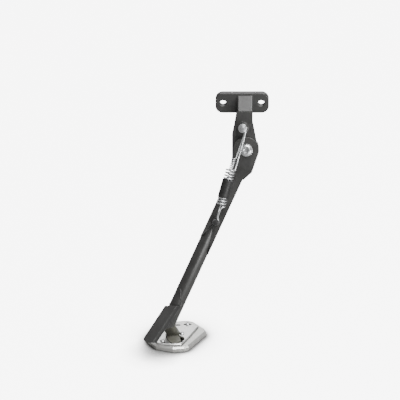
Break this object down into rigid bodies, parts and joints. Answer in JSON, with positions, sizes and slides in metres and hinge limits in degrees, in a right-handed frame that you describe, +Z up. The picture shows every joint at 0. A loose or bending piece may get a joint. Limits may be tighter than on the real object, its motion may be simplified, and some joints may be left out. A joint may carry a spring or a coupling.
{
  "type": "kickstand",
  "caption": "Motorcycle side stand: forged fork and tube leg on a pivot bracket, twin over-centre springs, boot tang and a clamped foot enlarger plate.",
  "frame": {"origin": "centre of the two frame bolts on the back face of the bracket's mounting flange", "axes": "+X towards the rear wheel, +Y towards the motorcycle, +Z up; at rest the stand is deployed"},
  "size_m": [0.1972, 0.1904, 0.376],
  "materials": {
    "black_steel": "satin black powder coat",
    "zinc_steel": "zinc plated",
    "spring_steel": "zinc plated wire",
    "bronze": "sintered bronze",
    "pad_steel": "worn olive-grey coat",
    "alloy": "machined and satin anodised",
    "stainless": "fine brushed stainless",
    "rubber": "matte black rubber",
    "switch_plastic": "moulded black plastic"
  },
  "bodies": {
    "bracket": {"frame_bracket": "black_steel", "pivot_bush": "bronze", "outer_thrust_washer": "zinc_steel", "inner_thrust_washer": "zinc_steel", "upper_spring_pin": "zinc_steel", "switch_peg": "zinc_steel", "switch_housing": "switch_plastic"},
    "leg": {"leg_fork": "black_steel", "leg_tube": "black_steel", "pivot_bolt": "zinc_steel", "pivot_washer": "zinc_steel", "pivot_nut": "zinc_steel", "lower_spring_pin": "black_steel", "foot_neck": "pad_steel", "foot_pad": "pad_steel", "foot_tang": "black_steel", "base_plate": "alloy", "clamp_plate": "stainless", "clamp_screw_1": "zinc_steel", "clamp_screw_2": "zinc_steel", "clamp_screw_3": "zinc_steel", "clamp_screw_4": "zinc_steel", "switch_rotor": "zinc_steel", "switch_screw": "zinc_steel"},
    "spring_upper": {"outer_spring": "spring_steel", "spring_sleeve": "rubber"},
    "spring_lower": {"inner_spring": "spring_steel"}
  },
  "joints": [
    {"name": "leg_pivot", "type": "hinge", "parent": "bracket", "child": "leg", "pos_m": [0.006, -0.046, -0.062], "axis": [0, -0.9397, 0.342], "range_deg": [0, 105]},
    {"name": "spring_swing", "type": "hinge", "parent": "bracket", "child": "spring_upper", "pos_m": [0.0005, -0.0342, -0.02958], "axis": [0, -0.9397, 0.342], "range_deg": [0, 84]},
    {"name": "spring_stretch", "type": "slide", "parent": "spring_upper", "child": "spring_lower", "axis": [-0.2729, -0.329, -0.904], "range_m": [-0.0166, 0], "deforming": ["outer_spring", "inner_spring"]}
  ],
  "couplings": [
    {"joint": "spring_swing", "follows": "leg_pivot", "ratio": 0.79959},
    {"joint": "spring_stretch", "follows": "leg_pivot", "m_per_rad": -0.0090373}
  ]
}
